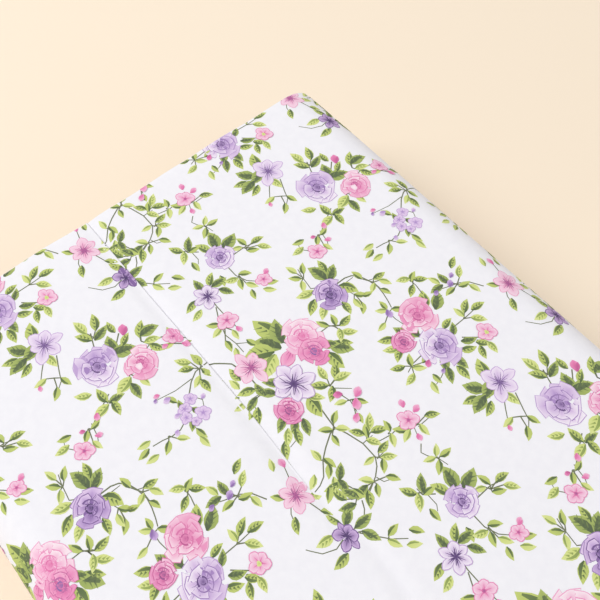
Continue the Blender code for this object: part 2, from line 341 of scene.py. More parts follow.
class Print:
    """Coloured patches of the print, flat, in millimetres: x across the cloth and y along it.
    level counts the layers upwards, and top is the first layer that is free for a flower."""

    def __init__(self):
        self.points, self.colours, self.faces, self.levels = [], [], [], []
        self.level, self.top = 0, FIRST_FLOWER
        self.leaf_count = 0

    def patch(self, points, colours, faces):
        start = len(self.points)
        self.points += points
        self.colours += colours
        self.levels += [self.level] * len(points)
        self.faces += [[start + i for i in face] for face in faces]

    def band(self, line, widths, rim, middle):
        """A strip along a line, with one colour at its edges and another along its middle."""
        points, colours, faces = [], [], []
        for i, ((x, y), (across, along)) in enumerate(zip(line, half_widths(line, widths))):
            points += [(x + across, y + along), (x, y), (x - across, y - along)]
            colours += [rim[i], middle[i], rim[i]]
            if i:
                a, b = 3 * i - 3, 3 * i
                faces += [(a, a + 1, b + 1, b), (a + 1, a + 2, b + 2, b + 1)]
        self.patch(points, colours, faces)

    def strip(self, line, widths, colours):
        """A thin strip along a line, with its own width and colour at each point."""
        points = []
        for (x, y), (across, along) in zip(line, half_widths(line, widths)):
            points += [(x + across, y + along), (x - across, y - along)]
        faces = [(2 * i, 2 * i + 1, 2 * i + 3, 2 * i + 2) for i in range(len(line) - 1)]
        self.patch(points, [c for c in colours for _ in range(2)], faces)

    def line(self, points, width=0.6, colour=STEM, end=0.7):
        """A stem, tendril or vein: a strip of one colour that narrows to its end."""
        last = max(len(points) - 1, 1)
        widths = [width * (1 - (1 - end) * i / last) for i in range(len(points))]
        self.strip(points, widths, [linear(colour)] * len(points))


def mix(a, b, t):
    """The colour at share t of the way from a to b."""
    return tuple(p + (q - p) * t for p, q in zip(a, b))


def bent(x, y, angle, length, curve, steps):
    """Points along a slightly curved line that starts at (x, y)."""
    found = []
    for i in range(steps + 1):
        t = i / steps
        a = angle + curve * (t - 0.5)
        if i:
            x += math.cos(a) * length / steps
            y += math.sin(a) * length / steps
        found.append((x, y))
    return found


def leaf(art, x, y, angle, length=7.0, width=None, tone="leaf", curve=0.35):
    """A leaf centred on (x, y): pale green, with a dark wedge along its vein and dark side veins."""
    a = math.radians(angle)
    length *= 1.2
    wide = width or length * (0.5 if length < 9 else 0.6)
    small = length < 6.3
    steps = 4 if small else 5
    line = bent(x - math.cos(a) * length / 2, y - math.sin(a) * length / 2, a, length, curve, steps)
    shape = [wide * math.sin(math.pi * (i / steps) ** 0.8) for i in range(steps + 1)]
    shape[0], shape[-1] = wide * 0.14, 0.03
    rim, core, shadow, cover = {
        "leaf": (LIME, mix(LIME, LEAF, 0.4), LEAF_DARK, 0.44),
        "lime": (LIME_PALE, LIME, LEAF, 0.34),
        "dark": (mix(LIME, LEAF, 0.35), LEAF, mix(LEAF_DARK, INK, 0.12), 0.66),
    }[tone]
    tips = [i / steps for i in range(steps + 1)]
    edge = [linear(mix(core, rim, 0.5 + 0.5 * t)) for t in tips]
    middle = [linear(mix(core, rim, 0.1 + 0.7 * t)) for t in tips]
    base = art.level = 1 + 3 * (art.leaf_count % 3)
    art.leaf_count += 1
    art.band(line, shape, edge, middle)
    art.level = base + 1
    side = 1 if (x * 7 + y * 3) % 2 < 1 else -1
    off = side * (0.25 if cover < 0.6 else 0.1)
    wedge = [(px - math.sin(a) * w * off, py + math.cos(a) * w * off)
             for (px, py), w in zip(line[:-1], shape)]
    widths = [w * cover * (1 - 0.75 * t) + 0.1 for w, t in zip(shape, tips)][:-1]
    art.strip(wedge, widths, [linear(mix(shadow, core, 0.45 * t)) for t in tips[:-1]])
    art.level = base + 2
    for k in () if small else (1, 2, 3):
        px, py = line[k]
        for way in (-side,) if cover < 0.6 else (-1, 1):
            turn = a + way * 0.75
            reach = shape[k] * 0.52
            tip = (px + math.cos(turn) * reach, py + math.sin(turn) * reach)
            art.strip([(px, py), tip], [0.8, 0.15], [linear(shadow), linear(core)])
    art.level = 0


def stems(art, width, *lines):
    """Stems of one width, each through a list of points."""
    for points in lines:
        art.line(points, width)


def leaves(art, around_x, around_y, spots, length=7.0, tone="leaf"):
    """Leaves at these spots, each pointing away from (around_x, around_y).
    A spot is (x, y), with its own length and tone after that if it has them."""
    for spot in spots:
        x, y = spot[0], spot[1]
        size = spot[2] if len(spot) > 2 and spot[2] else length
        kind = spot[3] if len(spot) > 3 else tone
        angle = math.degrees(math.atan2(y - around_y, x - around_x))
        wobble = 22 * math.sin(x * 3.1 + y * 1.7)
        if math.hypot(x - around_x, y - around_y) < 9:
            turned = math.radians(angle + wobble)
            base = (x - math.cos(turned) * size * 0.55, y - math.sin(turned) * size * 0.55)
            art.line([(around_x, around_y), base, (x, y)], 0.55)
        leaf(art, x, y, angle + wobble, size, tone=kind, curve=0.5 * math.sin(x + y))


def petal(art, x, y, angle, length, width, base, middle, rim, full=0.62, streaks=2, vein=None,
          outline=None, frill=0.0):
    """One petal from (x, y) outwards. full is where along it the petal is widest, and frill is how
    uneven its edges are."""
    a = math.radians(angle)
    steps = 5
    curve = 0.35 * math.sin(x * 2.3 + angle)
    line = bent(x, y, a, length, curve, steps)
    power = math.log(0.5) / math.log(full)
    shape = [width * math.sin(math.pi * (i / steps) ** power) ** 0.7 for i in range(steps)] + [0.0]
    shape[0] = width * 0.25
    shape[-1] = width * 0.12
    shape = [w * (1 + frill * (-1) ** i * (0.6 + 0.4 * math.sin(x * 3 + i)))
             for i, w in enumerate(shape)]
    base_level = art.level
    if outline:
        far = [(px + math.cos(a) * 0.28, py + math.sin(a) * 0.28) for px, py in line]
        art.strip(far, [w + 0.55 for w in shape], [linear(outline)] * len(line))
    art.level = base_level + 1
    core, edge = [], []
    for i in range(steps + 1):
        t = i / steps
        inner_part = mix(base, middle, min(t * 1.5, 1))
        core.append(linear(inner_part if t < 0.66 else mix(middle, rim, (t - 0.66) * 2)))
        edge.append(linear(mix(middle, rim, min(0.35 + t * 0.8, 1))))
    art.band(line, shape, edge, core)
    art.level = base_level + 2
    for k in range(streaks):
        share = (k + 1) / (streaks + 1) - 0.5
        reach = 3 + (k + int(angle)) % 2
        streak = [(px - math.sin(a) * w * share, py + math.cos(a) * w * share)
                  for (px, py), w in zip(line[:reach], shape)]
        art.line(streak, 0.42, vein or base, 0.25)
    art.level = base_level + 3
    art.top = max(art.top, art.level)


def ring(art, count, draw):
    """Draws petals 0 to count - 1 so that each one lies over or under its neighbours, in few layers."""
    start = art.level
    for k in range(count):
        last = k == count - 1 and k % 3 == 0
        art.level = start + (9 if last else 3 * (k % 3))
        draw(k)
    art.level = start + (12 if (count - 1) % 3 == 0 else 9)
    art.top = max(art.top, art.level)


def blob(art, x, y, rx, ry, centre, rim, turn=0.0, sides=9):
    """A soft spot of colour with a slightly uneven edge."""
    points, colours, faces = [(x, y)], [linear(centre)], []
    for i in range(sides):
        a = 2 * math.pi * i / sides + turn
        uneven = 1 + 0.12 * math.sin(3 * a + x) + 0.08 * math.sin(5 * a + y)
        points.append((x + rx * uneven * math.cos(a), y + ry * uneven * math.sin(a)))
        colours.append(linear(rim))
        faces.append((0, 1 + i, 1 + (i + 1) % sides))
    art.patch(points, colours, faces)
    art.level += 1
    art.top = max(art.top, art.level)


def whorl(art, x, y, radius, colour, turn, count=3):
    """The curled petals at the heart of a rose."""
    for k in range(count):
        size = radius * (1 - 0.27 * k)
        start = turn + k * 2.2
        turns = [start + 0.42 * i for i in range(6)]
        line = [(x + size * math.cos(a), y + size * 0.85 * math.sin(a)) for a in turns]
        art.line(line, 0.75 - 0.12 * k, colour, 0.3)
    art.level += 1


ROSE_FRILL = 0.2


def rose(art, x, y, rx, ry, colours, turn=0.0, light=0.0):
    """A full rose. colours run from the heart to the petal tips; light turns to the paler side."""
    heart, deep, middle, pale = colours
    art.level = art.top

    def outer(k):
        a = 360 * k / 7 + turn + 13 * math.sin(k * 3.7 + y)
        r = math.radians(a)
        away = math.cos(math.radians(a - light))
        length = (0.62 + 0.13 * math.sin(k * 2.4 + x)) * (rx + ry) / 2
        width = rx * (0.92 + 0.12 * math.sin(k * 5 + x))
        petal(art, x + rx * 0.36 * math.cos(r), y + ry * 0.36 * math.sin(r), a, length, width,
              mix(deep, middle, 0.35), mix(deep, middle, 0.75 + 0.25 * away),
              mix(middle, pale, 0.6 + 0.4 * away), 0.66, 3, mix(deep, heart, 0.25),
              mix(deep, middle, 0.45), ROSE_FRILL)

    def inner(k):
        a = 360 * k / 5 + turn + 31 + 15 * math.sin(k * 2.9 + x)
        r = math.radians(a)
        away = math.cos(math.radians(a - light))
        length = rx * (0.55 + 0.08 * math.sin(k * 4 + y))
        petal(art, x + rx * 0.12 * math.cos(r), y + ry * 0.12 * math.sin(r), a, length, rx * 0.72,
              mix(deep, middle, 0.2), mix(deep, middle, 0.6 + 0.4 * away),
              mix(middle, pale, 0.5 + 0.45 * away), 0.66, 2, mix(deep, heart, 0.45),
              mix(deep, heart, 0.1), ROSE_FRILL)

    blob(art, x, y, rx * 0.55, ry * 0.55, deep, deep)
    ring(art, 7, outer)
    ring(art, 5, inner)
    blob(art, x, y, rx * 0.24, ry * 0.24, mix(heart, deep, 0.2), mix(deep, middle, 0.35), turn)
    whorl(art, x, y, rx * 0.27, heart, math.radians(turn))
    whorl(art, x + rx * 0.05, y + ry * 0.03, rx * 0.48, mix(deep, heart, 0.3), math.radians(turn + 140), 2)
    art.top = art.level


def lily(art, x, y, reach, width, colours, angles, heart_size=1.6):
    """A flower of long petals at the given angles; colours are heart, throat, middle and tip."""
    heart, throat, middle, tip = colours
    art.level = art.top
    angles = [spec if isinstance(spec, tuple) else (spec, 1.0) for spec in angles]

    def one(k):
        angle, share = angles[k]
        r = math.radians(angle)
        wide = width * (0.9 + 0.15 * math.sin(k * 2.2 + y))
        petal(art, x + 0.6 * math.cos(r), y + 0.6 * math.sin(r), angle, reach * share, wide,
              mix(throat, middle, 0.35), mix(middle, tip, 0.5), tip, 0.56, 3,
              mix(heart, throat, 0.45), mix(throat, middle, 0.85))

    ring(art, len(angles), one)
    for k in range(6):
        a = math.radians(60 * k + 20 + x)
        far = (1.0 + 0.3 * math.sin(k * 2 + y)) * heart_size
        stamen = [(x, y), (x + far * math.cos(a), y + far * math.sin(a)),
                  (x + 2.2 * far * math.cos(a + 0.25), y + 2.2 * far * math.sin(a + 0.25))]
        art.line(stamen, 0.6, heart, 0.3)
    art.level += 1
    blob(art, x, y, heart_size * 0.75, heart_size * 0.6, heart, mix(heart, throat, 0.5))
    art.top = art.level


# Colours of the larger flowers, from the heart to the petal tips.
PINK_ROSE = (ROSE_DARK, mix(PINK_DEEP, PINK, 0.45), mix(PINK, PINK_SOFT, 0.9), (253, 238, 245))
SOFT_ROSE = (PINK_DEEP, PINK, mix(PINK_SOFT, PINK_PALE, 0.5), (254, 242, 247))
VIOLET_ROSE = (VIOLET_DARK, mix(VIOLET_DEEP, VIOLET, 0.85), mix(VIOLET_SOFT, VIOLET_PALE, 0.5),
               (252, 247, 253))
HOT_ROSE = (PLUM, mix(ROSE_DARK, PINK_DEEP, 0.5), PINK, PINK_PALE)
VIOLET_LILY = (INK, VIOLET_DEEP, VIOLET_SOFT, (248, 240, 251))
PINK_LILY = (PLUM, PINK_DEEP, PINK_SOFT, PINK_PALE)


# Colours of the small flowers: heart, base, middle and tip.
BLOSSOM_TONES = {
    "pink": (PLUM, PINK_DEEP, mix(PINK, PINK_SOFT, 0.4), PINK_PALE),
    "lilac": (VIOLET, VIOLET, VIOLET_SOFT, VIOLET_PALE),
}
BUD_TONES = {
    "pink": (PINK_DEEP, PINK, PINK_SOFT),
    "hot": (ROSE_DARK, PINK_DEEP, PINK),
    "violet": (VIOLET_DEEP, VIOLET, VIOLET_SOFT),
    "lilac": (VIOLET, VIOLET_SOFT, VIOLET_PALE),
}


def blossom(art, x, y, radius, tone="pink", turn=0.0):
    """A small open flower of five petals."""
    heart, deep, middle, pale = BLOSSOM_TONES[tone]
    art.level = art.top

    def one(k):
        length = radius * (1 + 0.15 * math.sin(k * 2.1 + x))
        petal(art, x, y, 360 * k / 5 + turn, length, radius * 0.85, deep, mix(middle, pale, 0.4), pale,
              0.62, 1, deep, mix(middle, deep, 0.3))

    ring(art, 5, one)
    blob(art, x, y, radius * 0.22, radius * 0.22, heart, deep, sides=6)


def bud(art, x, y, angle, length=3.0, tone="pink"):
    """A closed bud: two petals folded over each other."""
    top = art.top
    deep, middle, pale = BUD_TONES[tone]
    a = math.radians(angle)
    foot = (x - math.cos(a) * length / 2, y - math.sin(a) * length / 2)
    art.level = art.top
    petal(art, *foot, angle - 9, length, length * 0.72, deep, middle, pale, 0.58, 1)
    petal(art, *foot, angle + 14, length * 0.8, length * 0.4, deep, deep, middle, 0.55, 0)
    art.top, art.level = top, 0


def rose_bouquet(art):
    """Two roses, pink and violet, with their buds and leaves."""
    stems(art, 0.6, [(46, 22), (49, 25), (53, 30)], [(59, 9), (58, 14), (60, 19)],
        [(67, 4), (64, 8), (61, 13), (61, 18)], [(38.5, 31), (44, 33), (50, 35)])
    stems(art, 0.5, [(66, 40), (71, 49), (73, 52), (75, 56), (79, 60)])
    stems(art, 0.4, [(72, 52), (78, 53), (81, 54.5)], [(79, 61), (74, 65), (71, 64)])
    leaves(art, 54, 27, [(54, 24.5, 9, "dark"), (48.5, 27.5, 8, "dark"), (41.5, 23, 5.5), (50, 21.5, 5.5)])
    leaves(art, 55, 17, [(50, 14, 7), (53, 11.5, 7.5, "dark"), (57.5, 13, 6, "lime"), (61.5, 13.5, 6)])
    leaves(art, 64, 29, [(67, 33.5, 7.5, "lime"), (72, 31, 7, "dark"), (71, 26, 5, "lime")])
    leaves(art, 41, 31, [(35, 27, 7), (41, 27.5, 7, "dark"), (33.5, 33, 7, "lime"), (38.5, 34.5, 6.5)])
    leaves(art, 68, 42, [(64.8, 42.5, 6.5), (69.5, 38.5, 6, "dark"), (73, 41, 6), (70.5, 46.5, 7, "lime"),
        (60, 48.5, 6, "lime")])
    leaves(art, 73, 54, [(73.2, 50.8, 4.5), (75.5, 56.5, 4.5), (80.8, 54.8, 4.5, "lime"), (70.5, 63.5, 5),
        (74, 66.5, 5.5, "lime")])
    leaves(art, 63, 4, [(59, 5, 5), (66.5, -0.8, 5, "dark"), (64, 10, 4.5, "lime")])
    rose(art, 53, 37, 10.2, 7.6, VIOLET_ROSE, 12, 20)
    rose(art, 63.2, 22.5, 7.4, 6.8, PINK_ROSE, 40, 200)
    blob(art, 64, 24, 1.7, 1.4, (255, 240, 246), PINK_PALE)
    bud(art, 46, 19.5, 215, 5.2, "hot")
    bud(art, 71, 49, 40, 3.4)
    bud(art, 78, 52.3, 300, 3.2)
    bud(art, 72.5, 56.5, 120, 2.4, "hot")
    blossom(art, 79.7, 60, 4.0, "pink", 15)
    blossom(art, 61.5, 5.5, 3.8, "pink", 40)
    bud(art, 67.8, 3.2, 320, 4.2)
    bud(art, 63.2, 10.8, 100, 3)


def lilac_spray(art):
    """A long stem with small lilac blossoms."""
    stems(art, 0.6, [(105, -11), (94.3, -11.2), (87.3, -9.2), (82.3, -4.2), (80, -1), (80, 4), (80.5, 8),
        (83, 12), (87, 16), (90, 20), (95, 24), (96.5, 27), (96.5, 31), (95.5, 35), (95, 39)])
    stems(art, 0.4, [(87, 16), (92, 13), (96, 15)], [(82, 11), (82, 19), (80.5, 27)],
        [(92, 21), (98, 22), (105, 22)])
    leaves(art, 80.5, 6, [(76, 4.5, 6), (73.5, 9.5, 6, "lime"), (77.2, 10.5, 5.5), (83.5, 4.5, 5),
        (84.5, 10, 5, "lime"), (88, 8.5, 6)])
    leaves(art, 92, 20, [(94.5, 17, 5, "dark"), (88.3, 21, 4.5, "dark"), (98, 22.5, 4.5, "dark"),
        (84, 22.5, 4.5), (103, 21.5, 5), (106.5, 22.5, 5, "lime")])
    leaves(art, 95.5, 32, [(100, 28, 4.5, "lime"), (99.3, 35, 5), (92.5, 41.5, 5, "lime"), (95.5, 43.5, 5),
        (99.2, 42, 5, "lime")])
    leaves(art, 98, -10, [(100, 0, 5), (104, 3.5, 5, "lime"), (109, 1.5, 5), (92, 0, 4.5)])
    open_ones = [(88.5, 16.5, 2.4), (96.5, 16, 3.0), (90.6, 20.8, 2.5), (94, 22.3, 2.3), (97.6, 20.3, 1.8)]
    for x, y, size in open_ones:
        blossom(art, x, y, size, "lilac", x * 9)
    closed_ones = [(91, 12, 2.6, 250), (91, 24.6, 2.8, 100), (83, 24, 3.4, 95), (96.6, 28.8, 2.6, 60)]
    for x, y, size, angle in closed_ones:
        bud(art, x, y, angle, size, "lilac")
    bud(art, 79, 26.2, 110, 2.6, "pink")
    bud(art, 80.5, 27.8, 60, 2.0, "violet")


def violet_sprig(art):
    """A violet flower on a curved stem with leaves on both sides."""
    stems(art, 0.6, [(97.5, 66), (97.5, 60), (98.5, 57), (101, 54.5), (105, 53), (110, 52), (114, 52.5),
        (118, 53.5), (121, 54.5)])
    stems(art, 0.4, [(99.5, 63), (99.5, 57)], [(105, 53), (106.5, 49)])
    stems(art, 0.5, [(96, 68), (92, 74.5), (85, 73.5), (81, 72.5)])
    stems(art, 0.4, [(101, 64), (107, 62), (113, 63)])
    stems(art, 0.45, [(122, 57), (126, 57), (131, 56)])
    leaves(art, 97, 69, [(91.5, 62.5, 7.5, "dark"), (88, 67.5, 8.5, "dark"), (102.5, 62, 7.5),
        (109, 69, 6), (86.5, 63.5, 6), (92.5, 78.5, 7, "lime"), (99.5, 80, 7), (104.2, 78, 6.5, "lime")])
    leaves(art, 107, 52, [(99.8, 55, 5), (106.3, 47.8, 5.5), (110.3, 47.8, 5, "lime"), (113.8, 50.8, 4.5),
        (109, 54, 4.5, "lime")])
    leaves(art, 106, 62, [(108, 60, 5), (110.5, 64, 5, "lime"), (113.5, 64, 5), (109.6, 57.8, 4.5)])
    leaves(art, 86, 73.5, [(82, 70.5, 5), (79.5, 75, 5, "lime"), (83.8, 76.5, 5), (89, 76.5, 5, "lime")])
    leaves(art, 122, 57, [(118, 56.5, 4.5), (119.3, 59, 4.5, "lime"), (123.6, 52.8, 5.2),
        (125.2, 64, 4.5, "lime")])
    rose(art, 99.5, 70, 7.8, 6.0, (INK, VIOLET_DEEP, mix(VIOLET, VIOLET_SOFT, 0.5), VIOLET_PALE), 15, 200)
    bud(art, 122.5, 57.5, 20, 4.2, "violet")


def peony_bouquet(art):
    """A pink peony beside a large violet rose."""
    stems(art, 0.5, [(139, 17), (134, 20), (131, 24), (129, 30), (127, 35)],
        [(144.5, 42), (144.5, 33), (144.2, 28)], [(150, 42), (155, 36), (156, 32)],
        [(145, 60), (145.5, 66), (147, 70)])
    stems(art, 0.4, [(155, 57), (157, 61), (158, 65)])
    stems(art, 0.5, [(126, 40), (120, 39), (116, 39)])
    leaves(art, 138, 54, [(134, 55.5, 7.5, "dark"), (132, 59, 7, "dark"), (130.8, 37.3, 8, "dark"),
        (127, 41.8, 8)])
    leaves(art, 150, 54, [(153.8, 56, 7, "dark"), (157.5, 50.5, 7, "dark"), (161.5, 53, 6.5),
        (158.8, 58, 6.5, "dark"), (141.5, 42, 5.5), (144.8, 42, 5.5, "dark"), (152.8, 40.5, 6, "dark"),
        (155.5, 43.5, 6)])
    leaves(art, 144.5, 35, [(144, 26, 6), (148.6, 30, 6, "lime"), (140.6, 30, 6), (141, 34.5, 5, "lime")])
    leaves(art, 155, 38, [(157.5, 36.8, 5.5), (161.3, 35.6, 5.5, "lime"), (160.3, 40.3, 5.5)])
    leaves(art, 137, 60, [(130.8, 66.8, 6.5), (135, 68.3, 6, "lime"), (139, 67.5, 6)])
    leaves(art, 146, 67, [(143.5, 65.5, 5), (148.6, 65, 5, "lime"), (142.8, 72, 5.5),
        (149.8, 71.5, 5.5, "lime"), (147, 59.8, 5), (156.6, 63, 4.5), (158.8, 66.5, 5, "lime")])
    leaves(art, 131, 25, [(122, 18.5, 5.5), (127, 19.5, 5.5, "lime"), (133, 22.5, 5),
        (137.3, 20.5, 5, "lime"), (125, 27.5, 6, "dark"), (127, 33.5, 6, "dark"), (123.2, 31.5, 5, "lime"),
        (131.6, 30, 5)])
    leaves(art, 118, 39, [(119, 35.2, 5.5), (114.5, 41.5, 5.5, "lime"), (120.8, 42.3, 5.5), (115.8, 37, 5)])
    rose(art, 147, 51.8, 8.8, 8.4, VIOLET_ROSE, 75, 140)
    rose(art, 131, 48.8, 8.6, 7.8, PINK_ROSE, 10, 60)
    rose(art, 136, 61.8, 5.6, 4.0, HOT_ROSE, 20, 250)
    bud(art, 149.3, 61.2, 60, 3.4, "hot")
    bud(art, 155.6, 58.8, 70, 2.4, "violet")
    blossom(art, 155, 32.2, 4.2, "pink", 25)
    blob(art, 155, 32.5, 1.1, 0.9, LIME, LIME_PALE)
    bud(art, 129, 27, 240, 3.6, "violet")
    bud(art, 126.3, 23.8, 250, 2.8, "violet")
    bud(art, 128.2, 35.2, 80, 2.8, "violet")


def lilac_flower(art):
    """A pale lilac flower with dark leaves."""
    stems(art, 0.5, [(34, 50), (40, 55), (44, 58)], [(38, 47), (45, 50), (49, 51.5), (52, 55)])
    leaves(art, 30, 49, [(30.3, 54.5, 8, "dark"), (22.3, 49.3, 8), (25.6, 58, 8, "dark"),
        (32.2, 61.5, 8, "dark"), (38.8, 50, 6.5, "lime"), (29, 63, 6.5), (36, 60, 6)])
    leaves(art, 46, 53, [(44.5, 58.5, 5, "lime"), (50.3, 50, 4.8), (52.6, 56, 5.2)])
    lily(art, 31, 48.5, 8.2, 5.4, (VIOLET_DARK, VIOLET, VIOLET_SOFT, (244, 232, 248)),
        [(270, 0.95), (330, 0.8), (40, 0.95), (110, 0.6), (160, 0.9), (215, 0.75)], 1.2)
    bud(art, 46.5, 59.8, 30, 2.6)


def star_flower(art):
    """A small pink flower with buds and a short branch."""
    stems(art, 0.45, [(166, 83), (166, 76)], [(171.5, 87), (174, 89.5), (176.5, 88.5), (180, 86),
        (184, 85)])
    stems(art, 0.5, [(161.5, 85), (161, 88), (161.5, 93), (160.5, 98), (158.5, 102)])
    stems(art, 0.4, [(158, 82), (164, 84), (169, 86)])
    leaves(art, 165, 83, [(166, 75.3, 5.5), (168.4, 82, 5, "lime"), (162.2, 89.5, 5),
        (165.8, 89, 5, "lime")])
    leaves(art, 160.5, 94, [(163.6, 94.3, 5, "lime"), (157.8, 92, 4.5)])
    leaves(art, 180, 86, [(180, 82.2, 5), (177, 84.3, 4.5, "lime"), (182.6, 88.4, 5.2),
        (178, 89, 4.5, "lime")])
    blossom(art, 161.5, 84, 4.2, "pink", 10)
    bud(art, 155, 81, 210, 3.6)
    bud(art, 160.3, 78.4, 265, 3.8)
    bud(art, 169.2, 85.8, 20, 3.2)


def long_vine(art):
    """The vine that joins the flowers, with its leaves in pairs."""
    stems(art, 0.6, [(128, 104), (132, 106.5), (140, 107.5), (145, 108), (150, 106), (157, 104),
        (164, 104), (167, 106), (169.5, 109), (171, 112), (172.5, 115), (172, 119)])
    stems(art, 0.4, [(157, 104), (157, 99)], [(165, 104), (164.5, 99)],
        [(170, 109), (173, 108), (174, 105.5)])
    stems(art, 0.6, [(145, 108), (146, 111), (149, 116), (152, 120), (157, 124), (158.5, 127), (159, 130)])
    stems(art, 0.4, [(172, 118), (170, 122)])
    leaves(art, 156, 101, [(152, 95.8, 6, "lime"), (157.2, 95.4, 6), (152.2, 103, 5.5),
        (159.4, 100.3, 5.5, "lime"), (154, 99.6, 5)])
    leaves(art, 165, 103, [(163, 98.8, 5.5), (167.2, 99.8, 5.5, "lime"), (168.6, 104, 5),
        (163.6, 107, 4.5, "lime")])
    leaves(art, 170.5, 111, [(174.3, 104.3, 5), (168.2, 112.8, 5, "lime"), (174, 112, 4.5),
        (170.8, 117, 6, "dark"), (174.6, 116.8, 6)])
    leaves(art, 171, 120, [(168, 120.8, 6, "dark"), (165.6, 124, 6), (171.2, 124.8, 6, "dark")])
    leaves(art, 145.5, 109, [(143.6, 111.5, 5), (147.6, 105.8, 5, "lime"), (142, 105, 5),
        (149.4, 111.2, 4.5)])
    leaves(art, 152, 120, [(148.8, 120.8, 5, "lime"), (154.6, 118.6, 5), (156.8, 121.3, 5),
        (162, 122.7, 5, "lime"), (163.6, 127, 5), (155.8, 128.4, 5, "lime")])


def pink_lily_spray(art):
    """A pink lily with thin leaves."""
    stems(art, 0.45, [(145, 10), (149, 13), (153, 14)], [(140, 6), (136, 5), (132, 4)],
        [(150, 5), (156, 3), (160, 1)])
    leaves(art, 145, 7.5, [(153.6, 14, 5.5), (149.6, 0.6, 5.5, "lime"), (133, 0.3, 4.5),
        (130, 8, 4.5, "lime"), (157, 1.2, 5), (141, 13.8, 4.5)])
    lily(art, 144.8, 7.5, 6.9, 4.4, PINK_LILY, [(200, 0.95), (255, 0.8), (320, 0.95), (20, 0.9),
        (80, 0.75), (140, 0.85)], 1.1)
    bud(art, 131.8, 4, 190, 4.0)


def centre_bouquet(art):
    """The largest group: three pink roses, a violet lily and a pink lily."""
    stems(art, 0.5, [(110.5, 87), (110.5, 81), (112, 78), (114, 76)],
        [(108, 120), (98, 122), (93, 127), (91, 130)])
    stems(art, 0.4, [(133, 97), (137.5, 92)])
    stems(art, 0.45, [(137, 97), (141, 96), (146, 97)], [(134, 118), (139, 120), (140, 126)],
        [(116, 119), (115, 125), (121, 127)])
    leaves(art, 107, 98, [(98.6, 98.2, 10, "dark"), (94.2, 101.6, 11), (100.6, 105.4, 10, "dark"),
        (101.6, 110.6, 10.5), (109, 110.6, 9.5, "lime")])
    leaves(art, 116, 92, [(121.2, 83, 9, "dark"), (117.4, 85.8, 7, "dark"), (124.3, 88.6, 8),
        (120.5, 80.5, 6)])
    leaves(art, 131, 98, [(131.2, 91.2, 6.5, "lime"), (127.2, 92, 6.5), (124.6, 96.4, 6, "lime"),
        (128, 101.2, 6.5), (134, 99.8, 6)])
    leaves(art, 126, 110, [(133.8, 108.3, 8.5), (138, 116.3, 6.5, "dark"), (115, 114.8, 7, "dark"),
        (117, 119.3, 7, "dark"), (131, 105, 6, "lime")])
    leaves(art, 129, 117, [(130.6, 123, 6.5, "dark"), (135.4, 119.8, 6, "dark"), (139.2, 121.3, 6),
        (136.5, 124.3, 6, "lime"), (139.8, 128, 6)])
    leaves(art, 116, 121, [(114, 120.3, 6, "dark"), (111.4, 125, 6.5), (117, 126.5, 6, "dark"),
        (122.3, 127.8, 6.5), (102.4, 124, 6), (105.5, 126.5, 5, "lime")])
    leaves(art, 112, 79, [(113, 73.5, 6), (118, 75.5, 6, "lime"), (109.5, 77, 5),
        (116.8, 79.8, 5.5, "lime"), (108, 82, 5)])
    leaves(art, 141, 95, [(144, 92.5, 4.5), (139, 99.5, 4.5, "lime"), (148.6, 98, 4.5)])
    lily(art, 104.5, 117, 8.4, 5.0, PINK_LILY, [(170, 0.95), (225, 0.7), (285, 0.7), (350, 0.95),
        (60, 0.75), (115, 0.75)], 1.4)
    art.level = art.top
    petal(art, 109, 99, 66, 8.5, 5.5, PINK_DEEP, PINK, PINK_SOFT, 0.5, 3, ROSE_DARK, PINK_DEEP)
    rose(art, 107, 92, 8.2, 8.6, SOFT_ROSE, 0, 230)
    rose(art, 115.4, 92.6, 6.4, 6.2, (VIOLET_DEEP, mix(PINK_DEEP, ROSE_DARK, 0.3), PINK, PINK_SOFT), 20,
        200)
    rose(art, 128.5, 117, 6.2, 4.6, HOT_ROSE, 30, 240)
    lily(art, 121, 108.5, 9.2, 5.8, VIOLET_LILY, [(180, 1.0), (232, 0.85), (285, 0.95), (340, 0.95),
        (25, 0.75), (95, 0.85), (140, 0.8)], 2.3)
    bud(art, 135.6, 98, 130, 3.8, "hot")
    bud(art, 140.2, 91.2, 250, 4.6)
    bud(art, 143.4, 95.2, 40, 5.0)
    bud(art, 147.6, 99, 60, 4.0)


